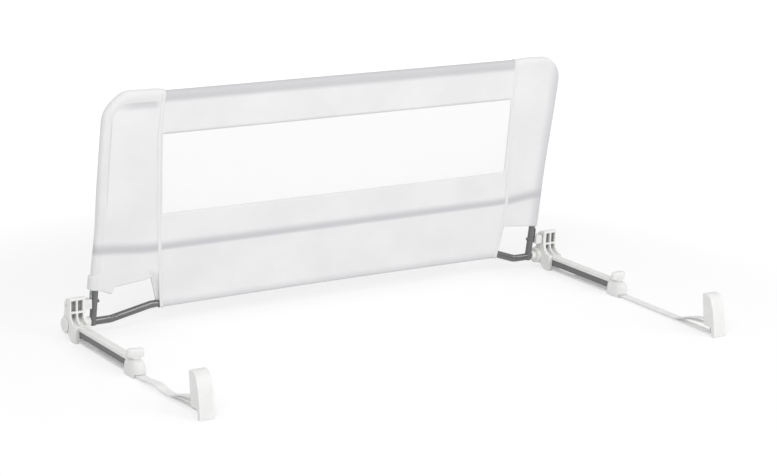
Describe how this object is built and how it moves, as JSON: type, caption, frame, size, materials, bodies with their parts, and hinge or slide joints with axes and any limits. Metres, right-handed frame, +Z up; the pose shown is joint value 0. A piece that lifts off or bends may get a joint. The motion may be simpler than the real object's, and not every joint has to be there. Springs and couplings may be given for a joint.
{
  "type": "folding bed guard rail",
  "caption": "Fabric covered tube guard with a mesh window, latching fold-down brackets and under-mattress arms with webbing straps and anchors.",
  "frame": {"origin": "under the middle of the bounding box, on the surface that the brackets, end caps and anchors stand on", "axes": "+X along the rail to its right end as seen from the mattress side, +Y away from the mattress, +Z up"},
  "size_m": [1.0944, 0.559, 0.4462],
  "materials": {
    "tube": "satin dark grey powder coat",
    "steel": "zinc plated",
    "plastic": "fine moulded texture",
    "cloth": "plain woven polyester",
    "netting": "fine white mesh",
    "webbing": "woven webbing"
  },
  "bodies": {
    "rail": {"top_tube": "tube", "bottom_tube": "tube", "crossbar": "tube", "cover_left_panel": "cloth", "cover_right_panel": "cloth", "cover_centre_panel": "cloth", "window_front": "netting", "window_back": "netting", "left_seam_binding": "cloth", "right_seam_binding": "cloth", "left_side_tube": "tube", "left_bottom_plug": "plastic", "left_crossbar_plug": "plastic", "left_crossbar_screw": "steel", "left_pivot_bolt": "steel", "left_latch_leaf": "steel", "left_leaf_rivet": "steel", "right_side_tube": "tube", "right_bottom_plug": "plastic", "right_crossbar_plug": "plastic", "right_crossbar_screw": "steel", "right_pivot_bolt": "steel", "right_latch_leaf": "steel", "right_leaf_rivet": "steel"},
    "left_release": {"left_release_button": "tube"},
    "left_arm": {"left_bracket": "plastic", "left_pivot_cap": "plastic", "left_pivot_spacer": "plastic", "left_latch_spring": "steel", "left_arm_tube": "tube", "left_arm_cover": "plastic", "left_arm_screw": "steel", "left_end_cap": "plastic"},
    "left_latch": {"left_latch_block": "plastic"},
    "left_knob": {"left_clamp_knob": "plastic", "left_clamp_stud": "steel"},
    "left_webbing": {"left_strap": "webbing"},
    "left_hook": {"left_anchor": "plastic", "left_anchor_bar": "steel"},
    "right_release": {"right_release_button": "tube"},
    "right_arm": {"right_bracket": "plastic", "right_pivot_cap": "plastic", "right_pivot_spacer": "plastic", "right_latch_spring": "steel", "right_arm_tube": "tube", "right_arm_cover": "plastic", "right_arm_screw": "steel", "right_end_cap": "plastic"},
    "right_latch": {"right_latch_block": "plastic"},
    "right_knob": {"right_clamp_knob": "plastic", "right_clamp_stud": "steel"},
    "right_webbing": {"right_strap": "webbing"},
    "right_hook": {"right_anchor": "plastic", "right_anchor_bar": "steel"}
  },
  "joints": [
    {"name": "left_release_slide", "type": "slide", "parent": "rail", "child": "left_release", "axis": [-1, 0, 0], "range_m": [0, 0.0024], "stiffness_N_per_m": 300, "springref_m": -0.002, "deforming": ["left_latch_leaf"]},
    {"name": "left_arm_hinge", "type": "hinge", "parent": "rail", "child": "left_arm", "pos_m": [-0.5285, 0.264, 0.025], "axis": [1, 0, 0], "range_deg": [0, 180]},
    {"name": "left_latch_slide", "type": "slide", "parent": "left_arm", "child": "left_latch", "axis": [-1, 0, 0], "range_m": [0, 0.0024], "stiffness_N_per_m": 300, "springref_m": -0.002, "deforming": ["left_latch_spring"]},
    {"name": "left_knob_turn", "type": "hinge", "parent": "left_arm", "child": "left_knob", "pos_m": [-0.5285, 0.026, 0.0286], "axis": [0, 0, 1], "range_deg": [0, 360]},
    {"name": "left_strap_slide", "type": "slide", "parent": "left_arm", "child": "left_webbing", "axis": [0, -1, 0], "range_m": [0, 0.09]},
    {"name": "left_anchor_tilt", "type": "hinge", "parent": "left_webbing", "child": "left_hook", "pos_m": [-0.5323, -0.209, 0.026], "axis": [-1, 0, 0], "range_deg": [0, 30]},
    {"name": "right_release_slide", "type": "slide", "parent": "rail", "child": "right_release", "axis": [1, 0, 0], "range_m": [0, 0.0024], "stiffness_N_per_m": 300, "springref_m": -0.002, "deforming": ["right_latch_leaf"]},
    {"name": "right_arm_hinge", "type": "hinge", "parent": "rail", "child": "right_arm", "pos_m": [0.5285, 0.264, 0.025], "axis": [1, 0, 0], "range_deg": [0, 180]},
    {"name": "right_latch_slide", "type": "slide", "parent": "right_arm", "child": "right_latch", "axis": [1, 0, 0], "range_m": [0, 0.0024], "stiffness_N_per_m": 300, "springref_m": -0.002, "deforming": ["right_latch_spring"]},
    {"name": "right_knob_turn", "type": "hinge", "parent": "right_arm", "child": "right_knob", "pos_m": [0.5285, 0.026, 0.0286], "axis": [0, 0, 1], "range_deg": [0, 360]},
    {"name": "right_strap_slide", "type": "slide", "parent": "right_arm", "child": "right_webbing", "axis": [0, -1, 0], "range_m": [0, 0.09]},
    {"name": "right_anchor_tilt", "type": "hinge", "parent": "right_webbing", "child": "right_hook", "pos_m": [0.521, -0.2575, 0.026], "axis": [-1, 0, 0], "range_deg": [0, 30]}
  ],
  "couplings": [
    {"joint": "left_latch_slide", "follows": "left_release_slide", "ratio": 1},
    {"joint": "right_latch_slide", "follows": "right_release_slide", "ratio": 1}
  ]
}
